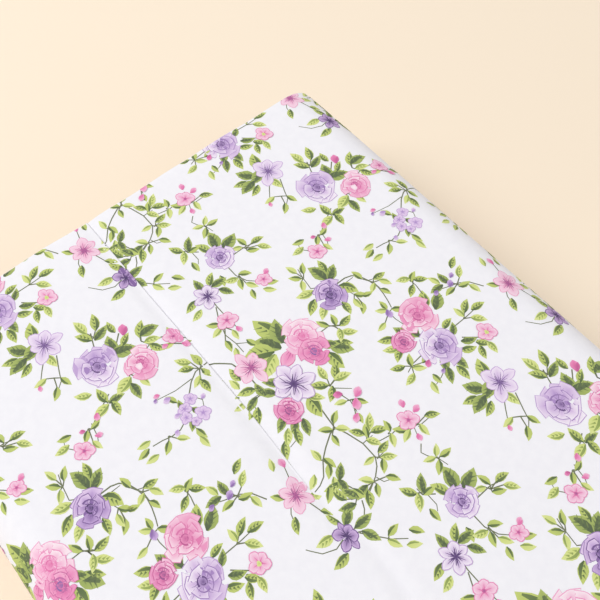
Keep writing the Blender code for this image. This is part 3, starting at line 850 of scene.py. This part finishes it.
def small_rose_group(art):
    """A lone violet rose with a leafy branch on each side."""
    stems(art, 0.5, [(57, 90), (57, 82), (58, 79)], [(60, 95), (66, 95), (71, 93), (75, 89)],
        [(46, 100), (43, 104), (40, 104)])
    stems(art, 0.4, [(43, 102.5), (49, 102.5), (51, 104)], [(59, 103.5), (64, 108)])
    stems(art, 0.5, [(68, 110), (72.5, 110.5), (80, 110.5), (87, 110)],
        [(73, 111), (79, 114), (86, 116), (92, 115), (97, 115)])
    stems(art, 0.4, [(92, 115), (95, 110.5)])
    leaves(art, 54, 95, [(50, 86.5, 8.5, "dark"), (45, 91.5, 8.5, "dark"), (45.8, 97.5, 7)])
    leaves(art, 58, 83, [(57.6, 76.3, 5.5), (62.4, 76, 5.5, "lime"), (60.6, 81, 5), (53.8, 82.4, 5),
        (55.3, 86.3, 4.5, "lime")])
    leaves(art, 67, 94, [(67.8, 91.2, 5), (66.6, 98, 5.5, "lime"), (71, 96, 5), (74.3, 92.5, 5, "lime"),
        (78.6, 85, 5), (81, 88, 5, "lime"), (78.4, 95, 4.5)])
    leaves(art, 42, 104, [(39.6, 101, 6.5, "dark"), (38.6, 107.2, 6), (44.4, 107, 6, "lime"),
        (43.6, 100.8, 5), (51.4, 105.6, 5), (64.6, 101, 5)])
    leaves(art, 65.5, 108, [(64, 102.6, 6.5, "dark"), (69.6, 102.8, 6, "dark"), (60.4, 104.5, 6),
        (59.8, 110.3, 6.5, "dark"), (66.2, 119, 6), (71.2, 119.5, 5.5, "lime")])
    leaves(art, 83, 114, [(79, 117.3, 5), (83, 118, 5, "lime"), (91, 118, 5), (95.8, 117.5, 4.5, "lime"),
        (96, 109.5, 5), (88.6, 112.6, 4.5, "lime")])
    rose(art, 54.5, 94.5, 6.8, 5.8, VIOLET_ROSE, 50, 320)
    blossom(art, 75.3, 87, 3.2, "pink", 30)
    bud(art, 73, 83.6, 250, 3.2)
    lily(art, 66.5, 110.5, 5.9, 3.9, VIOLET_LILY, [(270, 0.8), (330, 0.9), (30, 0.95), (90, 1.0),
        (150, 0.95), (210, 0.8)], 1.1)
    blossom(art, 81, 111.3, 4.2, "pink", 5)
    bud(art, 87.4, 110, 0, 3.2)


def dark_violet_flower(art):
    """A small dark violet flower where the long vine ends."""
    stems(art, 0.5, [(30, 122.5), (33, 124), (36, 127), (36, 131)],
        [(38, 131), (42, 128), (47, 124), (51, 119)])
    stems(art, 0.45, [(36, 138), (37, 142), (35, 147), (30, 151)])
    leaves(art, 36, 134, [(30.4, 130, 7, "dark"), (35.8, 127, 7, "dark"), (41.6, 128.3, 6.5, "dark"),
        (32.4, 143.8, 6.5, "lime"), (41.4, 143.4, 6.5), (28.4, 136, 6)])
    leaves(art, 46, 124, [(45.2, 121, 5), (49.2, 123.8, 5, "lime"), (51, 114.6, 5), (54, 118.6, 5, "lime")])
    leaves(art, 19.5, 124, [(22, 124.5, 6, "dark"), (16.6, 121.4, 6, "dark"), (19.4, 127.6, 6),
        (27.6, 121.4, 5)])
    lily(art, 36, 135.8, 5.6, 4.0, (INK, VIOLET_DARK, VIOLET_DEEP, VIOLET_SOFT),
        [(190, 0.9), (240, 0.7), (300, 0.7), (350, 0.95), (50, 0.9), (130, 0.9)], 1.2)


def whole_repeat():
    """One repeat of the print. Each group starts again from the same lowest layers."""
    art = Print()
    for group in (long_vine, lilac_spray, violet_sprig, star_flower, lilac_flower, dark_violet_flower,
                  small_rose_group, pink_lily_spray, rose_bouquet, peony_bouquet, centre_bouquet):
        art.level, art.top = 0, FIRST_FLOWER
        group(art)
    return art


class Patches:
    """Patches of the print as arrays, while they are repeated, cut and sliced."""

    def __init__(self, points, colours, levels, faces):
        self.points, self.colours = list(map(tuple, points)), list(map(tuple, colours))
        self.levels, self.faces = list(levels), faces

    def add_between(self, i, j, t):
        """Adds the point at share t of the way from point i to point j, and returns its number."""
        for values in (self.points, self.colours):
            values.append(tuple(a + (b - a) * t for a, b in zip(values[i], values[j])))
        self.levels.append(self.levels[i])
        return len(self.points) - 1

    def clip(self, axis, limit, sign):
        """Keeps what lies above a limit on an axis, or below it where sign is -1."""
        away = [(point[axis] - limit) * sign for point in self.points]
        kept = []
        for face in self.faces:
            new = []
            for k, i in enumerate(face):
                j = face[(k + 1) % len(face)]
                if away[i] >= 0:
                    new.append(i)
                if (away[i] >= 0) != (away[j] >= 0):
                    new.append(self.add_between(i, j, away[i] / (away[i] - away[j])))
            if len(new) > 2:
                kept.append(new)
        self.faces = kept

    def slice_at_rows(self, rows):
        """Cuts each patch where it crosses a row of the cloth's mesh, so that both bend there."""
        done = []
        for face in self.faces:
            along = [self.points[i][1] for i in face]
            first, last = bisect.bisect(rows, min(along) + 1e-4), bisect.bisect(rows, max(along) - 1e-4)
            rest = face
            for row in rows[first:last]:
                low, high = [], []
                for k, i in enumerate(rest):
                    j = rest[(k + 1) % len(rest)]
                    a, b = self.points[i][1] - row, self.points[j][1] - row
                    if a <= 0:
                        low.append(i)
                    if a >= 0:
                        high.append(i)
                    if a * b < 0:
                        new = self.add_between(i, j, a / (a - b))
                        self.points[new] = (self.points[new][0], row)
                        low.append(new)
                        high.append(new)
                if len(low) > 2:
                    done.append(low)
                rest = high
                if len(rest) < 3:
                    break
            if len(rest) > 2:
                done.append(rest)
        self.faces = done

    def used(self):
        """Arrays of the points, colours and levels that a face uses, and the faces."""
        used = np.unique(np.concatenate([np.array(face) for face in self.faces]))
        renumber = np.full(len(self.points), -1)
        renumber[used] = np.arange(len(used))
        faces = [[int(renumber[i]) for i in face] for face in self.faces]
        return np.array(self.points)[used], np.array(self.colours)[used], np.array(self.levels)[used], faces


def repeated(art, least, most):
    """The repeats of the print that reach into the box between two corners of the flat cloth."""
    cell = np.array(art.points)
    points, faces = [], []
    for down in range(-4, 4):  # more than enough to cover all the cloth that shows
        for across in range(-6, 6):
            shift = [down * STEP_DOWN[i] + across * STEP_ACROSS[i] for i in (0, 1)]
            moved = cell + np.array(shift)
            moved[:, 1] = rows_of_cloth(moved[:, 1], np.abs(moved[:, 0]))
            if (moved.max(0) < least).any() or (moved.min(0) > most).any():
                continue
            faces += [[i + len(cell) * len(points) for i in face] for face in art.faces]
            points.append(moved)
    count = len(points)
    return Patches(np.concatenate(points), art.colours * count, art.levels * count, faces)


def last_wound_turn(p, u, lift):
    """The outermost wound turn, by distance along the cloth."""
    return inner_cloth((p - WOUND_END) / LOOP + TURNS, u, lift)


def normals_of(points, place):
    """The normals of the cloth's own surface at these points, so that the print is shaded as the cloth is."""
    step = 0.7
    x, p = points[:, 0], points[:, 1]
    along = place(p + step, x, 0) - place(p - step, x, 0)
    across = place(p, x + step, 0) - place(p, x - step, 0)
    found = np.cross(along, across)
    return found / np.maximum(np.linalg.norm(found, axis=1, keepdims=True), 1e-12)


def printed(name, art, low, high, rows, place=outer_at_row, under=False):
    """The print between two distances along the cloth, on the ply that faces out or the one that faces in."""
    least_x, most_x = (-FULL_WIDTH + 0.2, -0.4) if under else (0.4, FULL_WIDTH - 0.2)
    patches = repeated(art, (least_x, low), (most_x, high))
    for axis, limit, sign in ((0, least_x, 1), (0, most_x, -1), (1, low, 1), (1, high, -1)):
        patches.clip(axis, limit, sign)
    patches.slice_at_rows(sorted(float(row) for row in rows))
    points, colours, levels, faces = patches.used()
    lift = PRINT_LIFT + LAYER_LIFT * levels
    mesh = bpy.data.meshes.new(name)
    mesh.from_pydata(place(points[:, 1], points[:, 0], -lift if under else lift).tolist(), [], faces)
    colours = np.hstack([colours, np.ones((len(points), 1))]).astype(np.float32)
    mesh.color_attributes.new("print", "FLOAT_COLOR", "POINT").data.foreach_set("color",
        colours.reshape(-1))
    map_cloth(mesh, points)
    for polygon in mesh.polygons:
        a, b, c = (points[i] for i in polygon.vertices[:3])
        if (b[0] - a[0]) * (c[1] - a[1]) - (b[1] - a[1]) * (c[0] - a[0]) > 0:
            polygon.flip()
    normals = normals_of(points, place)
    some = [mesh.polygons[k] for k in range(0, len(mesh.polygons), 97)]
    outwards = sum(polygon.normal.dot(Vector(normals[polygon.vertices[0]])) for polygon in some) > 0
    mesh.normals_split_custom_set_from_vertices((normals if outwards else -normals).tolist())
    return linked(name, mesh)


# ---------------------------------------------------------------- materials

def material(name, colour, rough, metal=0.0):
    """A material, its nodes, and its shader."""
    made = bpy.data.materials.new(name)
    made.use_nodes = True
    shader = made.node_tree.nodes["Principled BSDF"]
    shader.inputs["Base Color"].default_value = (*linear(colour), 1)
    shader.inputs["Roughness"].default_value = rough
    shader.inputs["Metallic"].default_value = metal
    return made, made.node_tree.nodes, made.node_tree.links, shader


def math_node(nodes, links, operation, first, second=None):
    """A math node; each input is a number or the output of another node."""
    node = nodes.new("ShaderNodeMath")
    node.operation = operation
    for socket, value in zip(node.inputs, (first, second)):
        if isinstance(value, float):
            socket.default_value = value
        elif value is not None:
            links.new(value, socket)
    return node.outputs[0]


def bump(nodes, links, shader, height, strength, distance):
    node = nodes.new("ShaderNodeBump")
    node.inputs["Strength"].default_value = strength
    node.inputs["Distance"].default_value = distance
    links.new(height, node.inputs["Height"])
    links.new(node.outputs["Normal"], shader.inputs["Normal"])


def cloth_place(nodes):
    """The place on the flat cloth, in metres."""
    node = nodes.new("ShaderNodeUVMap")
    node.uv_map = "cloth"
    return node.outputs["UV"]


def mottled(nodes, links, shader, place, scale, detail, dark, light, ends=(0.0, 1.0)):
    """Lets noise change the base colour between two tones, and returns the noise."""
    noise = nodes.new("ShaderNodeTexNoise")
    noise.inputs["Scale"].default_value = scale
    noise.inputs["Detail"].default_value = detail
    links.new(place, noise.inputs["Vector"])
    ramp = nodes.new("ShaderNodeValToRGB")
    for stop, position, colour in zip(ramp.color_ramp.elements, ends, (dark, light)):
        stop.position = position
        stop.color = (*linear(colour), 1)
    links.new(noise.outputs["Fac"], ramp.inputs["Fac"])
    links.new(ramp.outputs["Color"], shader.inputs["Base Color"])
    return noise.outputs["Fac"]


def weave(nodes, links, shader):
    """The threads of a plain weave as a fine bump, from the cloth's own coordinates."""
    split = nodes.new("ShaderNodeSeparateXYZ")
    links.new(cloth_place(nodes), split.inputs["Vector"])
    waves = []
    for axis in ("X", "Y"):
        angle = math_node(nodes, links, "MULTIPLY", split.outputs[axis], 2 * math.pi / THREAD_PAIR)
        waves.append(math_node(nodes, links, "SINE", angle))
    bump(nodes, links, shader, math_node(nodes, links, "MULTIPLY", *waves), 0.12, 0.00004)


def cotton_material():
    made, nodes, links, shader = material("white_cotton", WHITE, 0.86)
    mottled(nodes, links, shader, cloth_place(nodes), 260, 3, (244, 243, 249), (248, 247, 252), (0.3, 0.7))
    weave(nodes, links, shader)
    return made


def ink_material():
    made, nodes, links, shader = material("printed_colours", WHITE, 0.84)
    colour = nodes.new("ShaderNodeVertexColor")
    colour.layer_name = "print"
    links.new(colour.outputs["Color"], shader.inputs["Base Color"])
    weave(nodes, links, shader)
    return made


def kraft_material(name, colour, ribs):
    """Brown board paper: fibres, small flecks, and faint lines over the flutes."""
    made, nodes, links, shader = material(name, colour, 0.82)
    place = nodes.new("ShaderNodeTexCoord").outputs["Object"]
    dark, light = mix(colour, (120, 88, 58), 0.22), mix(colour, (240, 214, 176), 0.2)
    fibres = mottled(nodes, links, shader, place, 380, 6, dark, light, (0.32, 0.72))
    bands = nodes.new("ShaderNodeTexWave")
    bands.bands_direction = "X"
    bands.inputs["Scale"].default_value = 1 / (0.0065 * 3.18)
    links.new(place, bands.inputs["Vector"])
    height = nodes.new("ShaderNodeMath")
    height.operation = "MULTIPLY_ADD"
    height.inputs[1].default_value = ribs
    links.new(bands.outputs["Fac"], height.inputs[0])
    links.new(fibres, height.inputs[2])
    bump(nodes, links, shader, height.outputs[0], 0.35, 0.0003)
    return made


def grained_material(name, colour, rough, metal, scale, change):
    """A plain finish with a slight change of tone and roughness over it."""
    made, nodes, links, shader = material(name, colour, rough, metal)
    place = nodes.new("ShaderNodeTexCoord").outputs["Object"]
    dark, light = mix(colour, (90, 90, 90), change), mix(colour, (255, 255, 255), change)
    grain = mottled(nodes, links, shader, place, scale, 3, dark, light)
    spread = nodes.new("ShaderNodeMapRange")
    spread.inputs["To Min"].default_value = max(rough - 0.06, 0.02)
    spread.inputs["To Max"].default_value = rough + 0.06
    links.new(grain, spread.inputs["Value"])
    links.new(spread.outputs["Result"], shader.inputs["Roughness"])
    return made


def give(obj, made):
    """Gives an object one material."""
    obj.data.materials.clear()
    obj.data.materials.append(made)


# ---------------------------------------------------------------- the pieces

def both_plies(step):
    """u values for the doubled cloth, from the inner selvedge round the fold to the outer one."""
    return np.unique(np.concatenate([side_columns(1.2, 5, step, 2), -side_columns(1.4, 9, 45, 3)]))


def turn_rows():
    """Where the outer turn's mesh has its rows, as distances along the cloth."""
    start = TOP_START - 2 * ARC - SIDE
    return spaced((TURN_START, -279, 2), (-279, -269.6, 1.6), (-269.6, start, 6),
                  (start, start + ARC, 2.8), (start + ARC, start + ARC + SIDE, 4),
                  (TOP_START - ARC, TOP_START, 2.8), (TOP_START, 104, 6), (104, 127.5, 1.8),
                  (127.5, 134, 0.25), (134, 150, 1.6), (150, SPLIT + TUCK_HIDES, 6))


def wound_rows(count):
    """Where the last wound turns' mesh has its rows, as distances along the cloth."""
    steps = [26, 5.5, 13, 5.5, 26, 5.5, 13, 5.5]
    once = spaced(*zip(SECTION[:-1], SECTION[1:], steps))
    return np.concatenate([once[:-1] + TOP_START + k * LOOP for k in range(-count, 1)])


def free_rows():
    """Where the free end's mesh has its rows."""
    start = TOP_START + FLAT + TUCK_HIDES
    return spaced((SPLIT + TUCK_HIDES, start, 2.2), (start, start + ARC, 2.8),
                  (start + ARC, start + ARC + SIDE, 3.2), (start + ARC + SIDE, 278, 1.9),
                  (278, FREE_EDGE + TUCK_HIDES, 0.6))


def build_cloth(cotton):
    """The outer turn, the free end and the wound turns, each with both plies and the fold."""
    turn = grid_object("cloth_outer_turn_visual", turn_rows(), both_plies(4.5), outer_at_row)
    at_pins = [spaced((x - 4, x + 4, 0.5), (x - 12, x + 12, 2)) for _, x in HOLDS]
    columns = np.unique(np.concatenate([both_plies(5), *at_pins]))
    free = grid_object("cloth_free_end_visual", free_rows(), columns, outer_at_row)
    turns = (wound_rows(TURNS + 2) - WOUND_END) / LOOP + TURNS
    turns = np.concatenate([[0.0], turns[(turns > 0.01) & (turns < TURNS - 0.005)], [TURNS]])
    side = [FOLD_ARC, 3, 18, FULL_WIDTH / 2, FULL_WIDTH - 18, FULL_WIDTH - 3, FULL_WIDTH]
    columns = np.unique([-x for x in side] + [-0.18, 0, 0.18] + side)
    wound = grid_object("cloth_inner_turns_visual", turns, columns, inner_cloth)
    for obj in (turn, free, wound):
        give(obj, cotton)
    return turn, free, wound


def build_prints(ink):
    """The print on the outer turn, in four pieces, on both faces of the free end, and on the turn below."""
    art = whole_repeat()
    cuts = [TURN_START + 12, -150.0, -27.0, 90.0, SPLIT + TUCK_HIDES]  # four pieces of about one size
    names = ("under_front", "under_back", "top_back", "top_front")
    turn_prints = [printed("cloth_outer_turn_print_" + name, art, low, high, turn_rows())
                   for name, low, high in zip(names, cuts, cuts[1:])]
    free_start = SPLIT + TUCK_HIDES
    free_prints = [
        printed("cloth_free_end_print", art, free_start, FREE_END_STOP, free_rows()),
        printed("cloth_free_end_back_print", art, free_start + 6, FREE_END_STOP, free_rows(), under=True),
    ]
    wound_print = printed("cloth_inner_turns_print", art, SPLIT - 6 - LOOP, TURN_START + 2, wound_rows(2),
                          place=last_wound_turn)
    for obj in (*turn_prints, *free_prints, wound_print):
        give(obj, ink)
    return turn_prints, free_prints, wound_print


def build_view():
    """The camera, close above one corner, a pale floor and soft light."""
    camera = bpy.data.cameras.new("camera")
    camera.lens = CAMERA_LENS
    camera.sensor_width = 36
    camera.clip_start = 0.01
    view = linked("camera", camera)
    view.location = CAMERA_PLACE
    view.rotation_euler = Vector(CAMERA_DIRECTION).to_track_quat("-Z", "Y").to_euler()
    bpy.context.scene.camera = view
    bpy.ops.mesh.primitive_plane_add(size=6, location=(0, 0, 0))
    floor = bpy.context.object
    floor.name = "floor"
    give(floor, material("pale_floor", FLOOR_COLOUR, 0.9)[0])
    for name, size, energy, place in (
        ("window_light", 1.6, 40, (-1.5, -1.1, 1.9)),
        ("fill_light", 2.6, 12, (1.5, 1.3, 1.9)),
    ):
        light = bpy.data.lights.new(name, "AREA")
        light.size = size
        light.energy = energy
        obj = linked(name, light)
        obj.location = place
        obj.rotation_euler = (-Vector(place)).to_track_quat("-Z", "Y").to_euler()
    world = bpy.data.worlds.new("soft_light")
    world.use_nodes = True
    sky = world.node_tree.nodes["Background"]
    sky.inputs["Color"].default_value = (1.0, 0.985, 0.97, 1)
    sky.inputs["Strength"].default_value = 0.5
    bpy.context.scene.world = world
    bpy.context.scene.view_settings.view_transform = "Standard"


def finish_board_and_pins(nodes):
    """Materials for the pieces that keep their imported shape."""
    kraft = kraft_material("kraft_liner", (196, 158, 112), 0.5)
    flute = kraft_material("kraft_flutes", (182, 142, 98), 0.0)
    paper = grained_material("label_paper", (244, 242, 236), 0.62, 0.0, 260, 0.04)
    steel = grained_material("pin_steel", (198, 200, 204), 0.24, 1.0, 900, 0.08)
    head = grained_material("pin_head", (206, 60, 92), 0.14, 0.0, 500, 0.03)
    for name, node in nodes.items():
        if name.startswith("cloth_"):
            continue
        if name.startswith("pin_shaft"):
            give(node, steel)
        elif name.startswith("pin_head"):
            give(node, head)
        elif name.endswith("label"):
            give(node, paper)
        elif "fluting" in name:
            give(node, flute)
        else:
            give(node, kraft)


def main():
    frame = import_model()
    build_view()

    turn, free, wound = build_cloth(cotton_material())
    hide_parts("cloth_outer_turn")
    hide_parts("cloth_free_end")
    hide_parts("cloth_inner_turns")
    turn_prints, free_prints, wound_print = build_prints(ink_material())
    for obj in (turn, *turn_prints, wound, wound_print):
        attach(obj, "winding")
    for obj in (free, *free_prints):
        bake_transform(obj)
    finish_board_and_pins(frame["nodes"])


main()
